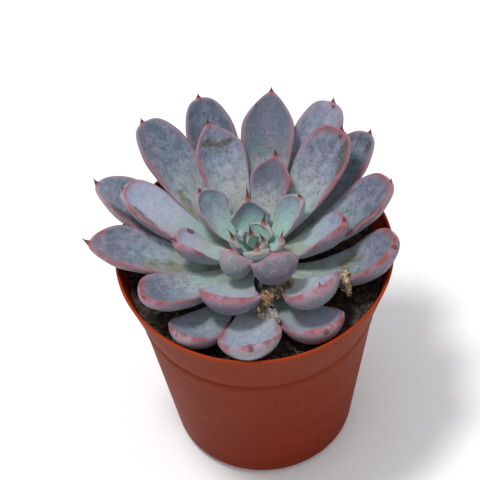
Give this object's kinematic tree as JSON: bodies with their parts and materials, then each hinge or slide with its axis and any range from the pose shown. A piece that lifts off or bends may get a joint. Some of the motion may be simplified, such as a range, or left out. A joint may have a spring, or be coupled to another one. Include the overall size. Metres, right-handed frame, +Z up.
{
  "type": "potted echeveria",
  "caption": "Potted echeveria: a rosette of thick spoon-shaped leaves with pointed red tips, growing in dark soil in a plain flared nursery pot.",
  "frame": {"origin": "centre of the pot's flat underside, on the pot's axis", "axes": "+Z up along the pot's axis, -Y towards the side of the rosette that the picture was taken from, +X to the picture's right"},
  "size_m": [0.1182, 0.1141, 0.124],
  "materials": {
    "pot_plastic": "thin moulded terracotta-coloured plastic, satin, lightly scuffed",
    "soil": "dark moist peat with fibres",
    "stem_skin": "dull skin with leaf scars",
    "leaf": "blue-grey waxy bloom, pink margins, dark red points",
    "young_leaf": "fresh blue-green with thin bloom",
    "dry_husk": "dry crumpled tan plant remains"
  },
  "bodies": {
    "root": {"pot": "pot_plastic", "soil": "soil", "stem": "stem_skin", "dried_stalk": "dry_husk", "dried_flake": "dry_husk", "leaf_01": "leaf", "leaf_02": "leaf", "leaf_03": "leaf", "leaf_04": "leaf", "leaf_05": "leaf", "leaf_06": "leaf", "leaf_07": "leaf", "leaf_08": "leaf", "leaf_09": "leaf", "leaf_10": "leaf", "leaf_11": "leaf", "leaf_12": "leaf", "leaf_13": "leaf", "leaf_14": "leaf", "leaf_15": "leaf", "leaf_16": "leaf", "leaf_17": "leaf", "leaf_18": "leaf", "leaf_19": "leaf", "leaf_20": "leaf", "leaf_21": "leaf", "leaf_22": "leaf", "leaf_23": "leaf", "leaf_24": "leaf", "leaf_25": "leaf", "leaf_26": "leaf", "heart": "young_leaf"}
  },
  "joints": []
}
